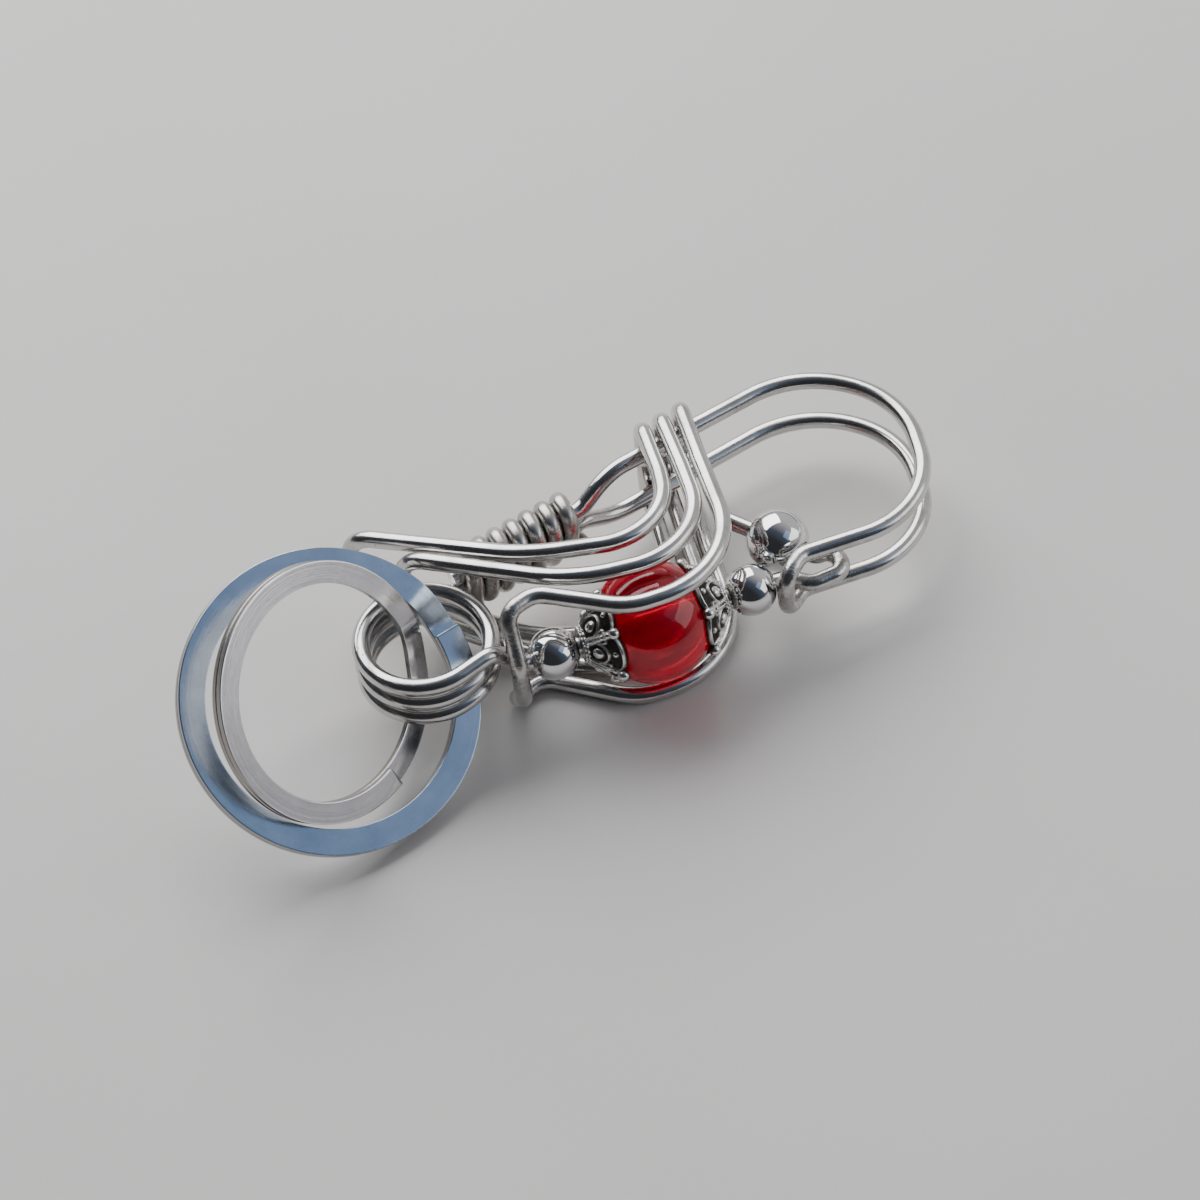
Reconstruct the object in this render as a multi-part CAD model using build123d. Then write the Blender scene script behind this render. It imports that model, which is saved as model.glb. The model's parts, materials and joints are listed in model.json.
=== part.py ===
from build123d import *

import os
from math import asin, cos, radians, sin

# Wire-work hook key ring: a safety-pin hook bent from round wire, a beaded gate, two split rings.
# Millimetres, +Z up. The hook lies flat: its two wires are stacked one over the other, and the gate
# turns in the level plane between them. The origin is under the middle of the part, at the surface
# that it lies on.

# ---- wire and levels -------------------------------------------------------------------------
wire_d = 2.0                      # round wire of the hook, spring, gate and cage
wire_r = wire_d / 2
touch = 0.05                      # gap left where two pieces of one body lie against each other
tip_gap = 0.18                    # the same where a cage wire hooks round the slanting hook wires
mid_z = 9.5                       # level plane of the gate, half way between the two hook wires
cage_z = 8.5                      # height of each cage leg above and below the level plane
nose_half = 3.15                  # half the distance between the two hook wires at the nose
back_half = 3.9                   # and where they run back past the cage

# ---- spring ----------------------------------------------------------------------------------
spring_x, spring_y = -25.6, 5.5   # axis that the gate turns about
spring_radius = 7.3               # to the middle of the wire
spring_pitch = 2.6
spring_start_z = 6.6
spring_start_angle = 103.5        # where the spine runs into the spring
spring_cut_angle = 185            # where the turning end begins, in the third turn
spring_exit_angle = 288           # where the gate leaves it
spring_cut_gap = 3                # degrees left open between the two

# ---- beads on the gate -----------------------------------------------------------------------
bead_x = -0.6
bead_d = 14.0
ball_d = 6.0
thumb_ball_d = 7.3
bore_d = 2.1                      # hole in each bead, a running fit on the wire
bead_gap = 0.1                    # end play between neighbours
cap_wall = 0.45
cap_clear = 0.06                  # between a cap and the glass
cap_reach = 47                    # degrees from the axis to the tips of the petals
cap_collar_d = 4.6
cap_collar_length = 1.2
cap_petals = 6
cap_notch_d = 2.3                 # scallop between two petals
cap_notch_out = 0.35              # how far outside the petals' tips a scallop is centred
eye_end = (19.7, 1.75)            # where the wire turns from the eye to the thumb lever
lever_end = (11.9, 11.0)
thumb_ball_along = 4.95           # from the eye to the middle of the thumb ball

# ---- split rings -----------------------------------------------------------------------------
# outside diameter, band width, thickness of one turn, place of the middle, upward normal,
# direction of the step, degrees that the step takes, degrees left open beside it
large_ring = {
    "outside": 34.6, "band": 3.0, "leaf": 0.97,
    "middle": (-38.02, 2.20, 10.89), "normal": (0.198, -0.546, 0.814),
    "step_at": 32.7, "step": 20, "open": 1.5,
}
small_ring = {
    "outside": 29.2, "band": 2.5, "leaf": 0.77,
    "middle": (-38.45, 0.95, 14.47), "normal": (0.498, -0.671, 0.5495),
    "step_at": 35, "step": 25, "open": 57,
}
leaf_gap = 0.06                   # between the two turns of a ring
ramp_stations = 6


# ---- wire paths ------------------------------------------------------------------------------
def swept(path):
    """A round wire along a path."""
    return sweep(Plane(origin=path @ 0, z_dir=path % 0) * Circle(wire_r), path=path)


def bent_wire(bends):
    """A round wire through its bends, each (x, y, z, radius); the two ends have radius None."""
    points = [bend[:3] for bend in bends]
    radii = [bend[3] for bend in bends[1:-1]]
    return swept(FilletPolyline(*points, radius=radii))


def below(bends):
    """The same bends reflected in the level plane, taken in the opposite order."""
    return [(x, y, 2 * mid_z - z, r) for x, y, z, r in reversed(bends)]


def spring_edge(from_angle, to_angle):
    """Part of the spring's helix, its angles counted on from the start of the first turn."""
    turns = (to_angle - from_angle) / 360
    start_z = spring_start_z + spring_pitch * (from_angle - spring_start_angle) / 360
    helix = Helix(spring_pitch, spring_pitch * turns, spring_radius)
    return Pos(spring_x, spring_y, start_z) * Rot(Z=from_angle) * helix


# ---- frame -----------------------------------------------------------------------------------
wrap_start = (-3.9, 17.5)         # right end of the binding, where the two spine wires part
wrap_end = (-19.0, 13.9)          # left end
wrap_pitch = 2.15
wrap_bend = 1.95                  # bend radius of each corner of the binding
wrap_lead = (0.8, 0.2)            # how far the spine wires stay together past the binding
spread = (1.2, 19.4)              # where the two wires reach their full distance apart
closing = (0.3, 0.55)             # how much nearer each bend of the hook brings them again
hook_outline = [                  # outside bend of the hook in plan, with radii
    (27.2, 25.7, 13.2),
    (36.4, 16.6, 11.2),
    (34.9, 4.7, 10.2),
    (28.4, 0.2, 10.3),
]
nose_corner = (17.4, 0.2)
nose = (14.6, -2.3)               # the closed end that the gate rests behind
spine_bend, nose_bend = 2.0, 2.2
hook_lead = 4.6                   # straight run from the spring's first turn to the spine
gate_lead = 4.2                   # and from its last turn towards the gate


def hook_wire():
    """Lower spine, lower hook wire, nose, upper hook wire and upper spine, in one length."""
    entry = spring_edge(spring_start_angle, spring_start_angle + 90)
    start = entry @ 0
    lead = start - (entry % 0) * hook_lead
    pair_half = wire_r + touch / 2
    back_z = mid_z - back_half
    lower = [
        (*start, None),
        (*lead, spine_bend),
        (wrap_end[0] - 0.4, wrap_end[1] - 0.1, mid_z - pair_half, spine_bend),
        (wrap_start[0] + wrap_lead[0], wrap_start[1] + wrap_lead[1], mid_z - pair_half, 3.0),
        (*spread, back_z, 8.0),
    ]
    half = [back_half - closing[0], back_half - closing[1], nose_half, nose_half]
    lower += [(x, y, mid_z - h, r) for (x, y, r), h in zip(hook_outline, half)]
    lower += [(*nose_corner, mid_z - nose_half, 2.5), (*nose, mid_z - nose_half, nose_bend)]
    upper = below(lower[3:])
    upper += [(wrap_end[0] - 1.0, wrap_end[1] - 0.2, mid_z + pair_half, None)]
    return bent_wire(lower + upper)


def binding_coil():
    """Turns of wire wound tightly round the stacked spine wires."""
    along = Vector(*wrap_end, 0) - Vector(*wrap_start, 0)
    place = Plane(origin=(*wrap_start, mid_z), x_dir=(0, 0, 1), z_dir=along.normalized())
    half_height = wire_d + wire_r + touch * 2
    half_width = wire_d + touch
    corners = [(1, 1), (1, -1), (-1, -1), (-1, 1)]
    count = round(4 * along.length / wrap_pitch)
    points = []
    for i in range(count):
        up, side = corners[(i + 2) % 4]
        corner = Vector(up * half_height, side * half_width, i * wrap_pitch / 4)
        points.append(place.from_local_coords(corner))
    return swept(FilletPolyline(*points, radius=wrap_bend))


def spring_coil():
    """The fixed turns of the spring."""
    return swept(spring_edge(spring_start_angle, spring_cut_angle + 720))


# ---- cage over and under the bead ------------------------------------------------------------
def cage_wire(tip_x, leg, left_end=()):
    """A hairpin hooked round both hook wires: a leg above the bead and the same leg below it.

    Each bend of the leg is (x, y, height above the level plane, radius). The left end has bends
    of its own, where the two legs aren't alike.
    """
    slope = (hook_outline[0][1] - spread[1]) / (hook_outline[0][0] - spread[0])
    far_y = spread[1] + slope * (tip_x - spread[0]) + wire_d + tip_gap
    tip_z = mid_z + back_half + wire_d + tip_gap / 2
    top = [(tip_x, far_y, mid_z + 0.3, None), (tip_x, far_y, tip_z, wire_d + tip_gap)]
    top += [(x, y, mid_z + h, r) for x, y, h, r in leg]
    between = [(x, y, mid_z + h, r) for x, y, h, r in left_end]
    return bent_wire(top + between + below(top))


def inner_cage_wire():
    leg = [(5.7, 14.0, 7.6, 8), (3.95, 4.35, cage_z, 7.5), (-12.0, 8.6, 7.6, 20)]
    leg += [(-29.6, 21.7, 4.2, 3.6)]
    return cage_wire(6.5, leg)


def middle_cage_wire():
    leg = [(8.4, 14.0, 7.6, 10), (7.4, 1.0, cage_z, 9)]
    leg += [(-8.5, 2.5, cage_z, 16), (-25.1, 15.65, 5.2, 3.6)]
    return cage_wire(9.0, leg)


def outer_cage_wire():
    leg = [(10.6, 14.0, 7.7, 12), (9.5, -3.35, cage_z, 10.5)]
    leg += [(-4.0, -3.4, cage_z, 8)]
    left_end = [(-13.2, 2.4, cage_z, 3), (-17.0, 1.0, cage_z, 2), (-17.1, -2.6, 2.7, 2.4)]
    left_end += [(-17.1, -2.6, -2.7, 2.4), (-17.0, 2.0, -cage_z, 2), (-13.2, 3.4, -cage_z, 3)]
    return cage_wire(11.6, leg, left_end)


# ---- gate ------------------------------------------------------------------------------------
def gate_wire():
    """The turning end of the spring, the shaft under the beads, the eye and the thumb lever."""
    arc = spring_edge(720 + spring_cut_angle + spring_cut_gap, 720 + spring_exit_angle)
    start = arc @ 1
    lead = start + (arc % 1) * gate_lead
    bends = [
        (*start, None),
        (*lead, 2.5),
        (-16.0, 0, mid_z, 2.0),
        (15.6, 0, mid_z, 2.0),
        (18.0, -1.9, mid_z, 2.0),
        (22.1, -1.4, mid_z, 1.5),
        (21.9, 1.7, mid_z, 1.5),
        (*eye_end, mid_z, 1.2),
        (*lever_end, mid_z, None),
    ]
    return swept(arc) + bent_wire(bends)


def bead_on_wire(diameter):
    """A drilled ball, its hole along X."""
    hole = Rot(Y=90) * Cylinder(bore_d / 2, diameter + 1)
    return Sphere(diameter / 2) - hole


def ball_x(side):
    """Centre of a metal ball beside the bead, side being -1 or +1."""
    stack = bead_d / 2 + cap_clear + cap_wall + cap_collar_length + bead_gap + ball_d / 2
    return bead_x + side * stack


def bead_cap(side):
    """A thin dome on one end of the bead, scalloped into petals, with a collar round the hole."""
    inner = bead_d / 2 + cap_clear
    outer = inner + cap_wall
    reach = radians(cap_reach)
    half = reach / 2
    end_x = outer + cap_collar_length
    collar_r = cap_collar_d / 2
    bore_r = bore_d / 2
    shoulder = (outer**2 - collar_r**2) ** 0.5
    start = (inner**2 - bore_r**2) ** 0.5
    turn = (reach + asin(collar_r / outer)) / 2
    outline = [
        ThreePointArc(
            (start, bore_r),
            (inner * cos(half), inner * sin(half)),
            (inner * cos(reach), inner * sin(reach)),
        ),
        Line((inner * cos(reach), inner * sin(reach)), (outer * cos(reach), outer * sin(reach))),
        ThreePointArc(
            (outer * cos(reach), outer * sin(reach)),
            (outer * cos(turn), outer * sin(turn)),
            (shoulder, collar_r),
        ),
        Polyline((shoulder, collar_r), (end_x, collar_r), (end_x, bore_r), (start, bore_r)),
    ]
    cap = revolve(make_face(outline), Axis.X)
    notch = Rot(Y=90) * Cylinder(cap_notch_d / 2, 3 * outer)
    for petal in range(cap_petals):
        turn_to = Rot(X=(petal + 0.5) * 360 / cap_petals)
        cap -= turn_to * Pos(0, outer * sin(reach) + cap_notch_out, 0) * notch
    facing = Rot(Z=180) if side < 0 else Rot(Z=0)
    return Pos(bead_x, 0, mid_z) * facing * cap


def thumb_ball():
    """The ball on the thumb lever, drilled along the lever."""
    lever = Vector(*lever_end) - Vector(*eye_end)
    place = Plane(origin=(*eye_end, mid_z), z_dir=lever.normalized())
    ball = Sphere(thumb_ball_d / 2) - Cylinder(bore_d / 2, thumb_ball_d + 1)
    return place * Pos(0, 0, thumb_ball_along) * ball


# ---- split rings -----------------------------------------------------------------------------
def sector(ring, from_angle, to_angle, z):
    """A flat part of the band between two angles, its underside at z."""
    outer = ring["outside"] / 2
    inner = outer - ring["band"]
    face = Sketch() + make_face(
        [
            CenterArc((0, 0), outer, from_angle, to_angle - from_angle),
            Line(polar(outer, to_angle), polar(inner, to_angle)),
            CenterArc((0, 0), inner, from_angle, to_angle - from_angle),
            Line(polar(inner, from_angle), polar(outer, from_angle)),
        ]
    )
    return Pos(0, 0, z) * extrude(face, ring["leaf"])


def polar(radius, angle):
    return (radius * cos(radians(angle)), radius * sin(radians(angle)))


def split_ring(ring):
    """Two turns of flat strip: the lower turn steps up through a short ramp into the upper one."""
    leaf, step = ring["leaf"], ring["step"]
    low, high = -leaf - leaf_gap / 2, leaf_gap / 2
    middle_r = ring["outside"] / 2 - ring["band"] / 2
    sections = []
    for i in range(ramp_stations + 1):
        part = i / ramp_stations
        angle = step * (part - 0.5)
        rise = low + (high - low) * part
        outward = (*polar(1, angle), 0)
        onward = (*polar(1, angle + 90), 0)
        place = Plane(origin=(*polar(middle_r, angle), rise + leaf / 2), x_dir=outward, z_dir=onward)
        sections.append(place * Rectangle(ring["band"], leaf))
    ramp = loft(sections, ruled=True)
    lower = sector(ring, step / 2 + ring["open"], 360 - step / 2, low)
    upper = sector(ring, step / 2, 360 - step / 2 - ring["open"], high)
    strip = Rot(Z=ring["step_at"]) * (lower + ramp + upper)
    normal = ring["normal"]
    east = (1, 0, -normal[0] / normal[2])
    return Plane(origin=ring["middle"], x_dir=east, z_dir=normal) * strip


nodes = {
    "hook_wire": hook_wire(),
    "binding_coil": binding_coil(),
    "spring_coil": spring_coil(),
    "inner_cage_wire": inner_cage_wire(),
    "middle_cage_wire": middle_cage_wire(),
    "outer_cage_wire": outer_cage_wire(),
    "gate_wire": gate_wire(),
    "inner_ball": Pos(ball_x(-1), 0, mid_z) * bead_on_wire(ball_d),
    "inner_bead_cap": bead_cap(-1),
    "glass_bead": Pos(bead_x, 0, mid_z) * bead_on_wire(bead_d),
    "outer_bead_cap": bead_cap(1),
    "outer_ball": Pos(ball_x(1), 0, mid_z) * bead_on_wire(ball_d),
    "thumb_ball": thumb_ball(),
    "large_split_ring": split_ring(large_ring),
    "small_split_ring": split_ring(small_ring),
}

whole = Compound(list(nodes.values())).bounding_box()
to_origin = (-whole.center().X, -whole.center().Y, -whole.min.Z)

os.makedirs("parts", exist_ok=True)
for name, solid in nodes.items():
    export_step(Pos(*to_origin) * solid, f"parts/{name}.step")
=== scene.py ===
"""Looks of the wire-work hook key ring: beaded gate, antique bead caps, flat split rings.

Plain lengths here are in millimetres and become metres through MM. In the materials, the lights and
the floor they are in metres, as Blender takes them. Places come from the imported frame.
"""
import json
from math import asin, cos, degrees, hypot, pi, radians, sin, sqrt

import bpy
from mathutils import Matrix, Vector


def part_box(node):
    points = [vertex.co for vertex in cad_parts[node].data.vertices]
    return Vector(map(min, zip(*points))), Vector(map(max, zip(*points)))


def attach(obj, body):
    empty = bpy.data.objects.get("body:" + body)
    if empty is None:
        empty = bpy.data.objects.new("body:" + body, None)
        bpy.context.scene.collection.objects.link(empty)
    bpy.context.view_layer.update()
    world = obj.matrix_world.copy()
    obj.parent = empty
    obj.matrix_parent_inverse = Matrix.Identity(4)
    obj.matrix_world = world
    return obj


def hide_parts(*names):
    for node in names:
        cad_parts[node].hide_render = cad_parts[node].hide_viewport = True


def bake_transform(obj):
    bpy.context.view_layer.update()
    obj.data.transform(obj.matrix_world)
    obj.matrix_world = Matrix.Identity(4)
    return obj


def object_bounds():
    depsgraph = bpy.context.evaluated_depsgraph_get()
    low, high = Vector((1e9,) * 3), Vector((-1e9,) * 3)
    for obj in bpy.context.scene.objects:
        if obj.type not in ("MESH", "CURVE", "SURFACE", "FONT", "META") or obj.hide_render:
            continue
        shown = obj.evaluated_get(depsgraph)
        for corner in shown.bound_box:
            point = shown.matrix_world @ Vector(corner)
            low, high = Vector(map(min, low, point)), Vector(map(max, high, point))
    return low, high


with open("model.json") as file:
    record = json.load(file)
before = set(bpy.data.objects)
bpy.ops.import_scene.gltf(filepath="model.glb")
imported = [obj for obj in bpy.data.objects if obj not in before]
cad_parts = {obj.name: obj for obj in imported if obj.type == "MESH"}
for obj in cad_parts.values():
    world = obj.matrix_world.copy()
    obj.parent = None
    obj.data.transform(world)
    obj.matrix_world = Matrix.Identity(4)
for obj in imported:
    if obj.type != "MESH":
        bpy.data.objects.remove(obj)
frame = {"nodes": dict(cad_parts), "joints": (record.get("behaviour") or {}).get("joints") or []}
cad_low, cad_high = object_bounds()

MM = 0.001
JOINTS = {joint["name"]: joint for joint in frame["joints"]}

# ---- camera ----------------------------------------------------------------------------------
CAMERA_LENS, SENSOR_WIDTH = 119.2, 36.0
CAMERA_DISTANCE = 450.0
CAMERA_AIM = (4.07, -1.04, 9.5)   # from the part's origin
CAMERA_AZIMUTH, CAMERA_ELEVATION, CAMERA_ROLL = 13.7, 52.0, 7.0
CLIP_START, CLIP_END = 0.01, 20.0  # metres


def make_camera():
    """The camera looks along +Y, turned towards +X, down, and rolled a little."""
    azimuth, elevation = radians(CAMERA_AZIMUTH), radians(CAMERA_ELEVATION)
    level = Vector((sin(azimuth), cos(azimuth), 0))
    side = Vector((cos(azimuth), -sin(azimuth), 0))
    forward = level * cos(elevation) - Vector((0, 0, sin(elevation)))
    upright = side.cross(forward)
    roll = Matrix.Rotation(radians(CAMERA_ROLL), 3, forward)
    right, up = roll @ side, roll @ upright
    place = Vector(CAMERA_AIM) * MM - forward * CAMERA_DISTANCE * MM
    turn = Matrix((right, up, -forward)).transposed().to_4x4()
    data = bpy.data.cameras.new("camera")
    data.lens = CAMERA_LENS
    data.sensor_width = SENSOR_WIDTH
    data.clip_start, data.clip_end = CLIP_START, CLIP_END
    camera = bpy.data.objects.new("camera", data)
    bpy.context.scene.collection.objects.link(camera)
    camera.matrix_world = Matrix.Translation(place) @ turn
    bpy.context.scene.camera = camera


# ---- meshes ----------------------------------------------------------------------------------
def link_mesh(name, points, faces, uvs=None):
    """A smooth shaded object in the scene. uvs gives each point its place in the "strip" layer."""
    mesh = bpy.data.meshes.new(name)
    mesh.from_pydata(points, [], faces)
    if uvs:
        layer = mesh.uv_layers.new(name="strip")
        for loop in mesh.loops:
            layer.data[loop.index].uv = uvs[loop.vertex_index]
    mesh.shade_smooth()
    mesh.validate()
    piece = bpy.data.objects.new(name, mesh)
    bpy.context.scene.collection.objects.link(piece)
    return piece


def skin(name, rows, joined=True):
    """A closed mesh through rows of points, each row a loop.

    Joined, the last row meets the first one. Otherwise the first and last rows are capped.
    """
    count = len(rows[0])
    points = [point for row in rows for point in row]
    uvs = [(i / len(rows), k / count) for i in range(len(rows)) for k in range(count)]
    faces = []
    last = len(rows) if joined else len(rows) - 1
    for i in range(last):
        here, there = i * count, (i + 1) % len(rows) * count
        for k in range(count):
            step = (k + 1) % count
            faces.append((here + k, here + step, there + step, there + k))
    if not joined:
        faces.append(tuple(range(count - 1, -1, -1)))
        faces.append(tuple(range(last * count, last * count + count)))
    return link_mesh(name, points, faces, uvs)


def arc_points(radius, start, end, steps):
    """Points (x, r) along an arc about the origin of a profile, angles in degrees."""
    angles = [radians(start + (end - start) * i / steps) for i in range(steps + 1)]
    return [(radius * cos(angle), radius * sin(angle)) for angle in angles]


def axes_about(direction):
    """Two unit vectors square to a unit vector."""
    helper = Vector((0, 0, 1)) if abs(direction.z) < 0.9 else Vector((1, 0, 0))
    first = direction.cross(helper).normalized()
    return first, direction.cross(first)


def turned(name, centre, direction, profile, columns):
    """A drilled lathe piece: profile is a closed list of (along, radius) in millimetres."""
    direction = direction.normalized()
    first, second = axes_about(direction)
    rows = []
    for along, radius in profile:
        row = []
        for k in range(columns):
            angle = 2 * pi * k / columns
            out = first * cos(angle) + second * sin(angle)
            row.append(centre + direction * along * MM + out * radius * MM)
        rows.append(row)
    return skin(name, rows)


BORE_ROWS = 12
# Two points round a hole's lip, in lip sizes: how far in from its rim, how far out from its bore.
LIP = ((0.08, 0.45), (0.40, 0.12))


def drilled_ball_profile(radius, bore, lip, steps):
    """A ball with a hole along its axis, its hole's edges rounded."""
    edge = degrees(asin((bore + lip) / radius))
    points = arc_points(radius, 180 - edge, edge, steps)
    reach = sqrt(radius**2 - (bore + lip) ** 2)
    rounding = [(reach - lip * inward, bore + lip * outward) for inward, outward in LIP]
    points += rounding
    for i in range(BORE_ROWS + 1):
        points.append(((reach - lip) * (1 - 2 * i / BORE_ROWS), bore))
    return points + [(-along, out) for along, out in rounding[::-1]]


# ---- materials -------------------------------------------------------------------------------
def fill_ramp(ramp, stops):
    """stops is a list of (position, colour)."""
    elements = ramp.color_ramp.elements
    while len(elements) < len(stops):
        elements.new(0.5)
    for element, (position, colour) in zip(elements, stops):
        element.position = position
        element.color = (*colour, 1.0)


class Recipe:
    """Short calls for building one node material."""

    def __init__(self, name, metallic=1.0):
        self.material = bpy.data.materials.new(name)
        self.material.use_nodes = True
        self.tree = self.material.node_tree
        self.shader = self.tree.nodes["Principled BSDF"]
        self.shader.inputs["Metallic"].default_value = metallic
        self.where = self.tree.nodes.new("ShaderNodeTexCoord")

    def node(self, kind, **values):
        made = self.tree.nodes.new(kind)
        for key, value in values.items():
            setattr(made, key, value)
        return made

    def join(self, output, target):
        self.tree.links.new(output, target)

    def stretched(self, scale, source="Object"):
        """Coordinates multiplied by three numbers."""
        mapping = self.node("ShaderNodeMapping")
        mapping.inputs["Scale"].default_value = scale
        self.join(self.where.outputs[source], mapping.inputs["Vector"])
        return mapping.outputs["Vector"]

    def noise(self, scale, detail=4.0, roughness=0.55, vector=None, distortion=0.0):
        made = self.node("ShaderNodeTexNoise")
        made.inputs["Scale"].default_value = scale
        made.inputs["Detail"].default_value = detail
        made.inputs["Roughness"].default_value = roughness
        made.inputs["Distortion"].default_value = distortion
        self.join(vector or self.where.outputs["Object"], made.inputs["Vector"])
        return made.outputs["Fac"]

    def ramp(self, value, stops):
        made = self.node("ShaderNodeValToRGB")
        fill_ramp(made, stops)
        self.join(value, made.inputs["Fac"])
        return made.outputs["Color"]

    def spread(self, value, low, high, start=0.3, end=0.7):
        """value's middle range mapped to low..high."""
        made = self.node("ShaderNodeMapRange")
        made.inputs["From Min"].default_value = start
        made.inputs["From Max"].default_value = end
        made.inputs["To Min"].default_value = low
        made.inputs["To Max"].default_value = high
        self.join(value, made.inputs["Value"])
        return made.outputs["Result"]

    def combine(self, first, second, how="MULTIPLY"):
        made = self.node("ShaderNodeMath", operation=how)
        for socket, value in zip(made.inputs, (first, second)):
            if isinstance(value, float):
                socket.default_value = value
            else:
                self.join(value, socket)
        return made.outputs["Value"]

    def mix(self, factor, first, second, how="MIX"):
        made = self.node("ShaderNodeMix", data_type="RGBA", blend_type=how)
        pairs = ((made.inputs[0], factor), (made.inputs[6], first), (made.inputs[7], second))
        for socket, value in pairs:
            if isinstance(value, float):
                socket.default_value = value
            elif isinstance(value, tuple):
                socket.default_value = (*value, 1.0)
            else:
                self.join(value, socket)
        return made.outputs[2]

    def bump(self, height, distance, strength=1.0, after=None):
        made = self.node("ShaderNodeBump")
        made.inputs["Distance"].default_value = distance
        made.inputs["Strength"].default_value = strength
        self.join(height, made.inputs["Height"])
        if after:
            self.join(after, made.inputs["Normal"])
        return made.outputs["Normal"]

    def finish(self, colour, roughness, normal):
        self.join(colour, self.shader.inputs["Base Color"])
        self.join(roughness, self.shader.inputs["Roughness"])
        self.join(normal, self.shader.inputs["Normal"])
        return self.material


GRIP_NEAR, GRIP_FAR = 0.0012, 0.0042  # fully bruised within the first, not at all past the second


def worked_places():
    """Where the pliers gripped: the cage's left bend, the hook's nose and the gate's eye."""
    cage_low, cage_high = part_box("outer_cage_wire")
    nose_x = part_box("outer_ball")[1].x + 1.6 * MM
    nose_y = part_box("hook_wire")[0].y + 1.5 * MM
    eye_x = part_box("gate_wire")[1].x - 1.2 * MM
    centre = middle("outer_ball")
    left = cage_low.x + 1.0 * MM
    places = [(left, centre.y + 1.0 * MM, z) for z in (cage_low.z + 2.0 * MM, cage_high.z - 2.0 * MM)]
    places += [(left, centre.y - 2.0 * MM, centre.z + 2.0 * MM)]
    places += [(nose_x, nose_y, centre.z + z * MM) for z in (-3.0, 0.0, 3.0)]
    return places + [(eye_x, centre.y, centre.z)]


def steel_wire_material():
    """Bright drawn stainless wire: fine pits, handling scratches, duller where it was gripped."""
    r = Recipe("steel_wire")
    gripped = None
    for place in worked_places():
        reach = r.node("ShaderNodeVectorMath", operation="DISTANCE")
        r.join(r.where.outputs["Object"], reach.inputs[0])
        reach.inputs[1].default_value = place
        near = r.spread(reach.outputs["Value"], 1.0, 0.0, GRIP_NEAR, GRIP_FAR)
        gripped = r.combine(gripped, near, "MAXIMUM") if gripped else near
    patches = r.noise(260.0, 5.0, 0.6)
    grain = r.noise(5200.0, 3.0, 0.6)
    dents = r.noise(1500.0, 3.0, 0.6)
    pits = r.noise(2300.0, 2.0, 0.5)
    scratches = r.noise(1.0, 3.0, 0.7, r.stretched((900.0, 5200.0, 2400.0)), 0.4)
    tones = [
        (0.30, (0.47, 0.455, 0.435)),
        (0.52, (0.61, 0.60, 0.585)),
        (0.80, (0.67, 0.665, 0.655)),
    ]
    colour = r.ramp(patches, tones)
    nicks = r.ramp(scratches, [(0.30, (0.70, 0.69, 0.67)), (0.40, (1.0, 1.0, 1.0))])
    colour = r.mix(0.6, colour, nicks, "MULTIPLY")
    specks = r.ramp(pits, [(0.245, (0.16, 0.14, 0.12)), (0.275, (1.0, 1.0, 1.0))])
    colour = r.mix(0.9, colour, specks, "MULTIPLY")
    bruise = r.combine(gripped, r.spread(dents, 0.25, 1.0, 0.35, 0.65))
    colour = r.mix(r.combine(bruise, 0.55), colour, (0.26, 0.245, 0.225))
    rough = r.combine(r.spread(patches, 0.22, 0.12), r.spread(scratches, 0.06, -0.02), "ADD")
    rough = r.combine(rough, r.combine(bruise, 0.16), "ADD")
    normal = r.bump(grain, 0.000012, 0.35)
    normal = r.bump(scratches, 0.00002, 0.3, normal)
    normal = r.bump(r.combine(dents, gripped), 0.00016, 0.55, normal)
    return r.finish(colour, rough, normal)


def binding_material():
    """The tightly wound turns: the same wire, duller from the pliers."""
    r = Recipe("worked_wire")
    patches = r.noise(420.0, 5.0, 0.65)
    grain = r.noise(4200.0, 4.0, 0.6)
    dents = r.noise(700.0, 2.0, 0.5)
    tones = [
        (0.30, (0.34, 0.32, 0.295)),
        (0.55, (0.52, 0.505, 0.48)),
        (0.80, (0.63, 0.62, 0.60)),
    ]
    colour = r.ramp(patches, tones)
    rough = r.spread(patches, 0.36, 0.22)
    normal = r.bump(dents, 0.00008, 0.35)
    normal = r.bump(grain, 0.000015, 0.5, normal)
    return r.finish(colour, rough, normal)


def ball_material():
    """Mirror polished steel balls with hairline scratches and faint smears."""
    r = Recipe("polished_ball")
    smears = r.noise(420.0, 4.0, 0.6)
    hairs = r.noise(1.0, 2.0, 0.8, r.stretched((7000.0, 900.0, 2600.0)), 0.6)
    colour = r.ramp(smears, [(0.3, (0.66, 0.66, 0.665)), (0.7, (0.75, 0.75, 0.755))])
    rough = r.combine(r.spread(smears, 0.075, 0.025), r.spread(hairs, 0.03, 0.0), "ADD")
    normal = r.bump(hairs, 0.000004, 0.3)
    return r.finish(colour, rough, normal)


def antique_material():
    """Cast antique silver: rubbed, bright high spots over dark grey recesses."""
    r = Recipe("antique_silver")
    relief = r.node("ShaderNodeAttribute", attribute_name="relief").outputs["Fac"]
    mottle = r.noise(1900.0, 5.0, 0.65)
    height = r.combine(relief, r.spread(mottle, -0.12, 0.12), "ADD")
    tones = [
        (0.04, (0.045, 0.041, 0.036)),
        (0.24, (0.22, 0.21, 0.19)),
        (0.50, (0.55, 0.535, 0.505)),
        (0.85, (0.76, 0.75, 0.725)),
    ]
    colour = r.ramp(height, tones)
    rough = r.spread(height, 0.55, 0.17, 0.1, 0.8)
    normal = r.bump(mottle, 0.00004, 0.5)
    return r.finish(colour, rough, normal)


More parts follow.
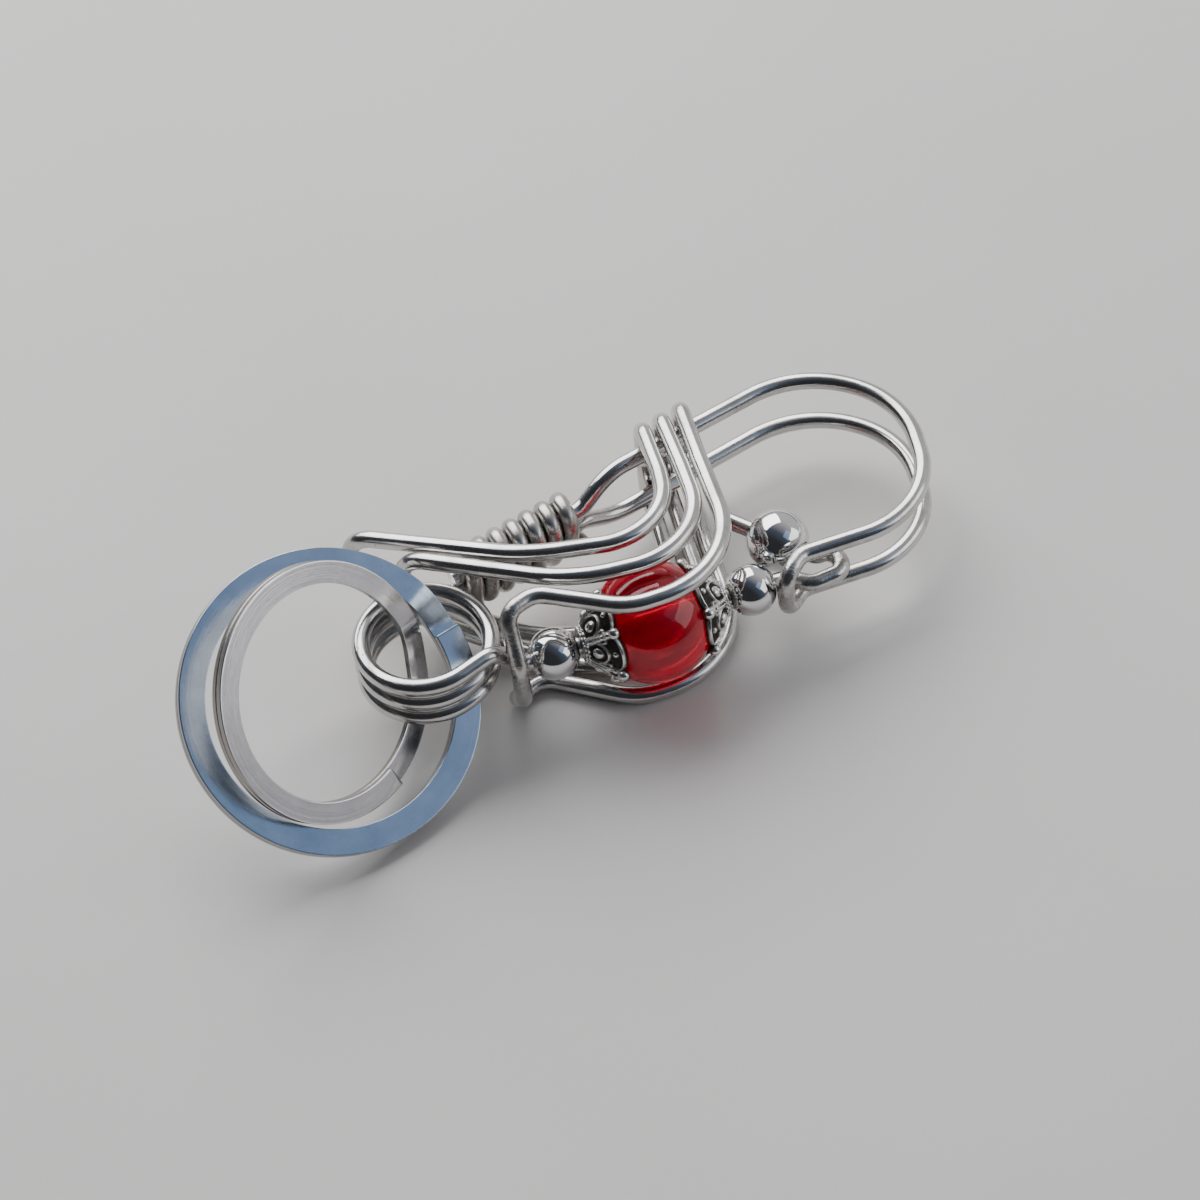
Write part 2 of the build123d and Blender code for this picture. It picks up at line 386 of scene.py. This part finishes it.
def glass_material():
    """Deep red glass with a faint swirl in its colour and surface, and a slightly uneven gloss."""
    r = Recipe("red_glass", metallic=0.0)
    r.shader.inputs["Transmission Weight"].default_value = 0.50
    r.shader.inputs["IOR"].default_value = 1.5
    swirl = r.noise(120.0, 3.0, 0.5, None, 2.2)
    gloss = r.noise(900.0, 3.0, 0.5)
    tones = [
        (0.25, (0.52, 0.0, 0.016)),
        (0.50, (0.72, 0.001, 0.026)),
        (0.80, (0.84, 0.004, 0.036)),
    ]
    colour = r.ramp(swirl, tones)
    rough = r.spread(gloss, 0.015, 0.06)
    normal = r.bump(swirl, 0.00008, 0.25)
    return r.finish(colour, rough, normal)


def ring_material(name, light, dark, low, high):
    """Plated flat strip: bright faces, walls rougher and darkened as a painted dark reflection, lines
    from rolling, short scuffs from keys.

    low and high are the faces' roughness along the lines.
    """
    r = Recipe(name)
    lines = r.noise(1.0, 3.0, 0.6, r.stretched((5.0, 260.0, 1.0), "UV"))
    scuffs = r.noise(2600.0, 4.0, 0.7, None, 0.8)
    cloud = r.noise(160.0, 4.0, 0.55)
    wall = r.node("ShaderNodeAttribute", attribute_name="wall").outputs["Fac"]
    colour = r.ramp(cloud, [(0.3, dark), (0.62, light)])
    marks = r.ramp(scuffs, [(0.29, (0.62, 0.61, 0.60)), (0.37, (1.0, 1.0, 1.0))])
    colour = r.mix(0.7, colour, marks, "MULTIPLY")
    # Painted dark reflection: the walls' colour is mixed towards dark brown.
    colour = r.mix(r.combine(wall, 0.85), colour, (0.20, 0.185, 0.165))
    rough = r.combine(r.spread(lines, low, high), r.spread(scuffs, 0.06, -0.01), "ADD")
    rough = r.combine(rough, r.combine(wall, 0.08), "ADD")
    normal = r.bump(lines, 0.000012, 0.4)
    normal = r.bump(scuffs, 0.00001, 0.35, normal)
    return r.finish(colour, rough, normal)


def floor_material():
    """Plain pale sweep, a little uneven in tone."""
    r = Recipe("pale_floor", metallic=0.0)
    cloud = r.noise(9.0, 3.0, 0.5)
    grain = r.noise(900.0, 3.0, 0.6)
    colour = r.ramp(cloud, [(0.3, (0.70, 0.675, 0.645)), (0.7, (0.76, 0.735, 0.705))])
    return r.finish(colour, r.spread(grain, 0.62, 0.75), r.bump(grain, 0.0001, 0.15))


# ---- strung beads ----------------------------------------------------------------------------
BORE_R = 1.05
GLASS_R = 7.0
GLASS_LIP, BALL_LIP = 0.25, 0.30  # rounding of the holes' edges
PETALS = 6
PETAL_COLUMNS = 72                # mesh columns across one petal
LINING_ROWS, FACE_ROWS = 10, 84   # mesh rows under and over a petal
CAP_INNER = 7.07                  # inside radius of a cap, on a 7 mm bead
CAP_FLOOR = 0.16                  # metal under the lowest relief
PETAL_TIP, PETAL_VALLEY = 49.0, 39.5
PETAL_ROOT = 16.7                 # degrees from the axis where the dome meets the collar
CAP_STANDOFF = 1.1                # how far the root of the petals stands off the glass
STANDOFF_POWER = 1.6              # a larger power keeps the tips closer to it

# The cast pattern of a petal: heights over its floor, half widths, and places measured inward
# from the petal's tip and across from its middle.
RIM_HEIGHT, RIM_WIDTH, RIM_INSET, RIM_SIDE_INSET = 0.34, 0.32, 0.34, 0.12
BOSS_HEIGHT, BOSS_RADIUS, BOSS_INWARD = 0.44, 0.60, 3.15
ARC_HEIGHT, ARC_RADIUS, ARC_WIDTH = 0.26, 1.16, 0.24
ARC_END, ARC_FADED = 3.3, 0.4     # the arc round the boss is low further inward than this
DOT_HEIGHT, DOT_RADIUS, DOT_INWARD = 0.30, 0.34, 1.22
CURL_ACROSS, CURL_INWARD = 1.62, 2.35
CURL_HEIGHT, CURL_RADIUS, CURL_WIDTH = 0.22, 0.42, 0.22
CURL_DOT_HEIGHT, CURL_DOT_RADIUS = 0.26, 0.20

# Two rope rings of the collar: middle along the axis from its base, waist radius, ring radius.
ROPES = ((0.23, 2.12, 0.20), (0.53, 1.92, 0.17))
ROPE_STEPS = 8
ROPE_TWISTS, ROPE_SLANT, ROPE_DEPTH = 22, 5.0, 0.07

# Balls between the petals, largest at the tip: degrees from the axis, lift, radius.
TIPS = ((45.0, 0.44, 0.68), (37.0, 0.14, 0.38), (31.0, 0.10, 0.34))
TIP_ROWS, TIP_COLUMNS = 12, 20

CAPS = (("inner_bead_cap", -1, 126.0), ("outer_bead_cap", 1, 138.0))  # node, side, phase


def middle(node):
    low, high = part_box(node)
    return (low + high) / 2


def hill(distance, width):
    """A rounded ridge: 1 at distance 0, 0 beyond width."""
    return cos(pi / 2 * distance / width) ** 2 if abs(distance) < width else 0.0


def dot(distance, radius):
    """A half ball: 1 in its middle, 0 beyond radius."""
    return sqrt(max(0.0, 1 - (distance / radius) ** 2)) if distance < radius else 0.0


def petal_edge(turn):
    """Polar angle of the cap's edge, turn being -1 to 1 across one petal."""
    return radians(PETAL_VALLEY + (PETAL_TIP - PETAL_VALLEY) * sqrt(max(0.0, 1 - turn * turn)))


def cap_skin(polar):
    """Radius of the petals' floor: on the glass at the tips, off it towards the collar."""
    climb = max(0.0, (radians(PETAL_TIP) - polar) / radians(PETAL_TIP - PETAL_ROOT))
    return CAP_INNER + CAP_FLOOR + CAP_STANDOFF * climb**STANDOFF_POWER


def petal_relief(polar, turn):
    """Height in millimetres of the cast pattern over a petal's floor."""
    half = pi / PETALS
    across = CAP_INNER * sin(polar) * turn * half
    to_side = CAP_INNER * sin(polar) * half * (1 - abs(turn))
    to_edge = CAP_INNER * (petal_edge(turn) - polar)
    inward = CAP_INNER * (radians(PETAL_TIP) - polar)
    nearest = min(to_edge, to_side + RIM_SIDE_INSET)
    from_boss = hypot(across, inward - BOSS_INWARD)
    arc = ARC_HEIGHT * hill(from_boss - ARC_RADIUS, ARC_WIDTH)
    heights = [
        RIM_HEIGHT * hill(nearest - RIM_INSET, RIM_WIDTH),
        BOSS_HEIGHT * dot(from_boss, BOSS_RADIUS),
        arc if inward < ARC_END else arc * ARC_FADED,
        DOT_HEIGHT * dot(hypot(across, inward - DOT_INWARD), DOT_RADIUS),
    ]
    for side in (-1, 1):
        curl = hypot(across - side * CURL_ACROSS, inward - CURL_INWARD)
        heights.append(CURL_HEIGHT * hill(curl - CURL_RADIUS, CURL_WIDTH))
        heights.append(CURL_DOT_HEIGHT * dot(curl, CURL_DOT_RADIUS))
    return max(heights)


def collar_profile():
    """(along, radius, tone) from the petals up over the rope rings to the mouth of the hole."""
    base = cap_skin(radians(PETAL_ROOT)) * cos(radians(PETAL_ROOT))
    points = [(base + 0.02, 2.32, 0.15), (base + 0.03, 2.16, 0.05)]
    for along, waist, fat in ROPES:
        for i in range(ROPE_STEPS + 1):
            angle = pi * i / ROPE_STEPS
            tone = 0.25 + 0.7 * sin(angle)
            points.append((base + along - fat * cos(angle), waist + fat * sin(angle), tone))
    return points + [(base + 0.71, 1.45, 0.5), (base + 0.69, 1.15, 0.3), (base + 0.60, 1.07, 0.1)]


def rope(along, angle, tone):
    """Slanting twist cut into the collar's rings, deepest where they stand out most."""
    return ROPE_DEPTH * tone * cos(ROPE_TWISTS * angle + along * ROPE_SLANT)


def bead_cap(name, side, centre, phase):
    """One cap as a closed mesh: lining, scalloped edge, cast face, rope collar and hole.

    side is 1 or -1, the way that the cap faces along X, and phase turns it, in degrees.
    """
    columns = PETALS * PETAL_COLUMNS
    angles = [2 * pi * k / columns for k in range(columns)]
    turns = [((k % PETAL_COLUMNS) + 0.5) * 2 / PETAL_COLUMNS - 1 for k in range(columns)]
    start = asin(BORE_R * 1.02 / CAP_INNER)
    rows, reliefs = [], []
    for i in range(LINING_ROWS):
        polars = [start + (petal_edge(t) - start) * i / (LINING_ROWS - 1) for t in turns]
        rows.append([(CAP_INNER * cos(p), CAP_INNER * sin(p)) for p in polars])
        reliefs.append([0.0] * columns)
    for i in range(FACE_ROWS + 1):
        row, tones = [], []
        for t in turns:
            edge = petal_edge(t)
            polar = edge + (radians(PETAL_ROOT) - edge) * i / FACE_ROWS
            height = petal_relief(polar, t)
            reach = cap_skin(polar) + height
            row.append((reach * cos(polar), reach * sin(polar)))
            tones.append(min(1.0, height / RIM_HEIGHT))
        rows.append(row)
        reliefs.append(tones)
    for along, radius, tone in collar_profile():
        row = [(along, radius + rope(along, a, tone)) for a in angles]
        rows.append(row)
        reliefs.append([max(0.0, tone + 4 * rope(along, a, tone)) for a in angles])
    points = []
    for row in rows:
        ring = []
        for (along, radius), angle in zip(row, angles):
            a = angle + radians(phase)
            ring.append(centre + Vector((side * along, radius * cos(a), radius * sin(a))) * MM)
        points.append(ring if side > 0 else ring[::-1])
    reliefs = [row if side > 0 else row[::-1] for row in reliefs]
    tones = [tone for row in reliefs for tone in row]
    piece = skin(name, points)
    add_tips(piece, tones, side, centre, phase)
    return piece


def add_ball(points, faces, tones, centre, spot, radius):
    """Adds one ball, bright on its outer half, to a mesh's points, faces and relief tones."""
    first = len(points)
    for i in range(TIP_ROWS + 1):
        tilt = pi * (i + 0.02) / (TIP_ROWS + 0.04)
        for k in range(TIP_COLUMNS):
            turn = 2 * pi * k / TIP_COLUMNS
            out = Vector((cos(tilt), sin(tilt) * cos(turn), sin(tilt) * sin(turn)))
            points.append(centre + (spot + out * radius) * MM)
            tones.append(0.95 if out.dot(spot) > 0 else 0.2)
    for i in range(TIP_ROWS):
        for k in range(TIP_COLUMNS):
            a = first + i * TIP_COLUMNS + k
            b = first + i * TIP_COLUMNS + (k + 1) % TIP_COLUMNS
            faces.append((a, a + TIP_COLUMNS, b + TIP_COLUMNS, b))
    last = first + TIP_ROWS * TIP_COLUMNS
    faces.append(tuple(range(first, first + TIP_COLUMNS)))
    faces.append(tuple(range(last + TIP_COLUMNS - 1, last - 1, -1)))


def add_tips(piece, tones, side, centre, phase):
    """Joins a ball and its stem between each pair of petals, and stores the relief tones."""
    mesh = piece.data
    points = [v.co.copy() for v in mesh.vertices]
    faces = [tuple(p.vertices) for p in mesh.polygons]
    for petal in range(PETALS):
        angle = radians(phase) + 2 * pi * petal / PETALS
        for polar, lift, radius in TIPS:
            reach = cap_skin(radians(polar)) + lift
            along, out = reach * cos(radians(polar)), reach * sin(radians(polar))
            spot = Vector((side * along, out * cos(angle), out * sin(angle)))
            add_ball(points, faces, tones, centre, spot, radius)
    fresh = bpy.data.meshes.new(mesh.name)
    fresh.from_pydata(points, [], faces)
    fresh.shade_smooth()
    relief = fresh.attributes.new("relief", "FLOAT", "POINT")
    relief.data.foreach_set("value", tones)
    piece.data = fresh


# ---- split rings -----------------------------------------------------------------------------
LEAF_GAP = 0.06
STRIP_EDGE = 0.10                 # radius of the strip's four edges
EDGE_STEPS = 4
FLAT_INSET = 0.6                  # of that radius, from an edge to the point beside it on the flat
STATION_DEGREES = 1.0             # from one row of the strip to the next
END_SHRINK, END_NUDGE = 0.88, 0.07  # the small chamfer at a cut end
# outside: diameter. band, leaf: width and thickness. step_at, step: angle of the joggle and its
# spread. gap: angle from the joggle to each cut end, in degrees.
LARGE_RING = {"outside": 34.6, "band": 3.0, "leaf": 0.97, "step_at": 32.7, "step": 20.0, "gap": 1.5}
SMALL_RING = {"outside": 29.2, "band": 2.5, "leaf": 0.77, "step_at": 35.0, "step": 25.0, "gap": 57.0}


def strip_section(band, leaf, corner):
    """Flat sided rectangle with small round edges, as (radial, upward) offsets.

    A point just inside each edge keeps the flats flat under smooth shading.
    """
    out = []
    inset = corner * FLAT_INSET
    for quarter, (sx, sy) in enumerate(((1, 1), (-1, 1), (-1, -1), (1, -1))):
        middle_x, middle_y = sx * (band / 2 - corner), sy * (leaf / 2 - corner)
        arc = []
        for i in range(EDGE_STEPS + 1):
            angle = radians(90 * quarter + 90 * i / EDGE_STEPS)
            arc.append((middle_x + corner * cos(angle), middle_y + corner * sin(angle)))
        upright = [(arc[0][0], middle_y - sy * inset), (middle_x - sx * inset, arc[-1][1])]
        level = [(middle_x - sx * inset, arc[0][1]), (arc[-1][0], middle_y - sy * inset)]
        first, last = upright if quarter % 2 == 0 else level
        out += [first] + arc + [last]
    return out


def split_ring(name, joint, outside, band, leaf, step_at, step, gap):
    """Two turns of strip: the lower one climbs through a smooth joggle into the upper one."""
    centre = Vector(JOINTS[joint]["pos_m"])
    normal = Vector(JOINTS[joint]["axis"]).normalized()
    east = Vector((1, 0, -normal.x / normal.z)).normalized()
    north = normal.cross(east)
    section = strip_section(band, leaf, STRIP_EDGE)
    first, last = step / 2 + gap, 720 - step / 2 - gap
    stations = int((last - first) / STATION_DEGREES)
    low = -(leaf + LEAF_GAP) / 2
    middle_r = outside / 2 - band / 2
    rows = []
    for i in range(-1, stations + 2):
        inside = min(max(i, 0), stations)
        angle = first + (last - first) * inside / stations
        climb = min(max((angle - (360 - step / 2)) / step, 0.0), 1.0)
        climb = climb * climb * (3 - 2 * climb)
        rise = low * (1 - 2 * climb)
        turn = radians(angle + step_at)
        out = east * cos(turn) + north * sin(turn)
        ahead = normal.cross(out)
        shrink = END_SHRINK if i != inside else 1.0
        nudge = ahead * (END_NUDGE * (i - inside))
        row = []
        for x, y in section:
            spot = out * (middle_r + x * shrink) + normal * (rise + y * shrink) + nudge
            row.append(centre + spot * MM)
        rows.append(row[::-1])
    piece = skin(name, rows, joined=False)
    # The walls' mask, for their painted dark reflection and their extra roughness.
    flat = leaf / 2 - STRIP_EDGE * 0.5
    walls = [1.0 if abs(y) < flat else 0.0 for x, y in section[::-1]]
    mark = piece.data.attributes.new("wall", "FLOAT", "POINT")
    mark.data.foreach_set("value", walls * len(rows))
    return piece


# ---- spring ----------------------------------------------------------------------------------
SPRING_RADIUS, SPRING_PITCH = 7.3, 2.6
WIRE_R = 1.0
CUT_ANGLE, CUT_GAP = 185.0, 3.0   # where the CAD wire is cut, and how wide, in degrees
BRIDGE_LAP = 14.0                 # degrees of wire covered beyond each side of the cut
BRIDGE_THIN, BRIDGE_PROUD = 0.97, 0.042  # of the wire's radius: at the ends, and added between
BLEND_MARGIN = 3.0
BRIDGE_ROWS, BRIDGE_COLUMNS, BRIDGE_FADE_ROWS = 60, 40, 8


def spring_bridge():
    """The unbroken stretch of the spring's wire, where the fixed turns run on into the gate."""
    axis = Vector(JOINTS["gate_hinge"]["pos_m"])
    cut_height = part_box("spring_coil")[1].z / MM - WIRE_R

    def on_spring(angle):
        a = radians(angle)
        z = cut_height + SPRING_PITCH * (angle - CUT_ANGLE) / 360
        reach = SPRING_RADIUS * MM
        return Vector((axis.x + reach * cos(a), axis.y + reach * sin(a), z * MM))

    rows = []
    low, high = CUT_ANGLE - BRIDGE_LAP, CUT_ANGLE + CUT_GAP + BRIDGE_LAP
    for i in range(BRIDGE_ROWS + 1):
        angle = low + (high - low) * i / BRIDGE_ROWS
        a = radians(angle)
        out = Vector((cos(a), sin(a), 0))
        along = Vector((-sin(a), cos(a), SPRING_PITCH / (2 * pi * SPRING_RADIUS))).normalized()
        up = out.cross(along)
        fade = min(1.0, min(i, BRIDGE_ROWS - i) / BRIDGE_FADE_ROWS)
        radius = WIRE_R * (BRIDGE_THIN + BRIDGE_PROUD * fade)
        row = []
        for k in range(BRIDGE_COLUMNS):
            turn = 2 * pi * k / BRIDGE_COLUMNS
            row.append(on_spring(angle) + (out * cos(turn) + up * sin(turn)) * radius * MM)
        rows.append(row)
    piece = skin("spring_bridge", rows, joined=False)
    ends = CUT_ANGLE - BLEND_MARGIN, CUT_ANGLE + CUT_GAP + BLEND_MARGIN
    return piece, on_spring(ends[0]), on_spring(ends[1])


# ---- stage -----------------------------------------------------------------------------------
FLOOR_HALF = 1.5                  # metres
FLOOR_DROP = 0.00002              # metres under the part


def make_floor(material):
    corners = [Vector((x, y, 0)) * FLOOR_HALF for x, y in ((-1, -1), (1, -1), (1, 1), (-1, 1))]
    floor = link_mesh("floor", corners, [(0, 1, 2, 3)])
    floor.data.materials.append(material)
    floor.location.z = cad_low.z - FLOOR_DROP


# name, place and size in metres, watts, colour
LIGHTS = (
    ("back_panel", (-0.06, 0.46, 0.42), (0.66, 0.58), 6.1, (0.985, 0.99, 1.0)),
    ("right_panel", (0.50, -0.22, 0.27), (0.48, 0.32), 0.80, (1.0, 0.99, 0.98)),
    ("front_panel", (0.36, -0.30, 0.52), (0.34, 0.30), 0.13, (0.36, 0.60, 1.0)),
)
WORLD_SIDE = (0.78, 0.60, 0.12)   # the studio surround is brightest this way


def area_light(name, place, size, power, colour):
    """A rectangular light that faces the part's origin."""
    data = bpy.data.lights.new(name, "AREA")
    data.shape = "RECTANGLE"
    data.size, data.size_y = size
    data.energy = power
    data.color = colour
    light = bpy.data.objects.new(name, data)
    bpy.context.scene.collection.objects.link(light)
    light.location = place
    light.rotation_euler = (-Vector(place)).to_track_quat("-Z", "Y").to_euler()


def make_lights():
    """A large softbox behind and above, a smaller one on the right, a dim blue one in front."""
    for light in LIGHTS:
        area_light(*light)


def make_world():
    """Studio surround: a soft gradient, bright behind and to the right, dark at the front left."""
    world = bpy.data.worlds.new("studio")
    bpy.context.scene.world = world
    world.use_nodes = True
    tree = world.node_tree
    where = tree.nodes.new("ShaderNodeTexCoord")
    side = tree.nodes.new("ShaderNodeVectorMath")
    side.operation = "DOT_PRODUCT"
    side.inputs[1].default_value = WORLD_SIDE
    spread = tree.nodes.new("ShaderNodeMapRange")
    spread.inputs["From Min"].default_value = -1.0
    ramp = tree.nodes.new("ShaderNodeValToRGB")
    tree.links.new(where.outputs["Generated"], side.inputs[0])
    tree.links.new(side.outputs["Value"], spread.inputs["Value"])
    tree.links.new(spread.outputs["Result"], ramp.inputs["Fac"])
    tree.links.new(ramp.outputs["Color"], tree.nodes["Background"].inputs["Color"])
    stops = [
        (0.25, (0.035, 0.036, 0.040)),
        (0.50, (0.075, 0.095, 0.130)),
        (0.68, (0.300, 0.300, 0.330)),
        (0.90, (0.620, 0.620, 0.630)),
    ]
    fill_ramp(ramp, stops)


# ---- assembly --------------------------------------------------------------------------------
def dress(piece, material, slot, body, *nodes):
    """Gives a new piece its material and its body, and hides the CAD nodes it stands for. slot is not
    used.
    """
    piece.data.materials.append(material)
    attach(piece, body)
    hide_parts(*nodes)


def recoat(node, material):
    """Gives a CAD node that stays in view its material."""
    mesh = frame["nodes"][node].data
    mesh.materials.clear()
    mesh.materials.append(material)
    mesh.shade_smooth()


make_camera()
make_world()
make_lights()
make_floor(floor_material())

wire = steel_wire_material()
cages = ("inner_cage_wire", "middle_cage_wire", "outer_cage_wire")
for node in ("hook_wire", *cages, "spring_coil", "gate_wire"):
    recoat(node, wire)
recoat("binding_coil", binding_material())

bridge, bridge_start, bridge_end = spring_bridge()
bridge.data.materials.append(wire)
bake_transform(bridge)

bead_middle = middle("glass_bead")
shaft = Vector((1, 0, 0))
bead_profile = drilled_ball_profile(GLASS_R, BORE_R, GLASS_LIP, 120)
bead = turned("red_glass_bead", bead_middle, shaft, bead_profile, 192)
dress(bead, glass_material(), "red_glass", "glass_bead", "glass_bead")

mirror = ball_material()
for node in ("inner_ball", "outer_ball", "thumb_ball"):
    axis = Vector(JOINTS[node + "_spin"]["axis"])
    low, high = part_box(node)
    profile = drilled_ball_profile((high.z - low.z) / 2 / MM, BORE_R, BALL_LIP, 64)
    ball = turned(node + "_polished", middle(node), axis, profile, 96)
    dress(ball, mirror, "polished_ball", node, node)

silver = antique_material()
for node, side, phase in CAPS:
    cap = bead_cap(node + "_cast", side, bead_middle, phase)
    dress(cap, silver, "antique_silver", node, node)

# The large ring's blue-grey base colour is a painted reflection of blue sky.
painted_sky_blue = ring_material("blue_grey_plate", (0.49, 0.560, 0.640), (0.38, 0.440, 0.52), 0.10, 0.20)
nickel = ring_material("nickel_plate", (0.91, 0.90, 0.90), (0.80, 0.79, 0.80), 0.08, 0.16)
large = split_ring("large_ring_strip", "large_split_ring_turn", **LARGE_RING)
dress(large, painted_sky_blue, "ring_steel", "large_split_ring", "large_split_ring")
small = split_ring("small_ring_strip", "small_split_ring_turn", **SMALL_RING)
dress(small, nickel, "ring_steel", "small_split_ring", "small_split_ring")
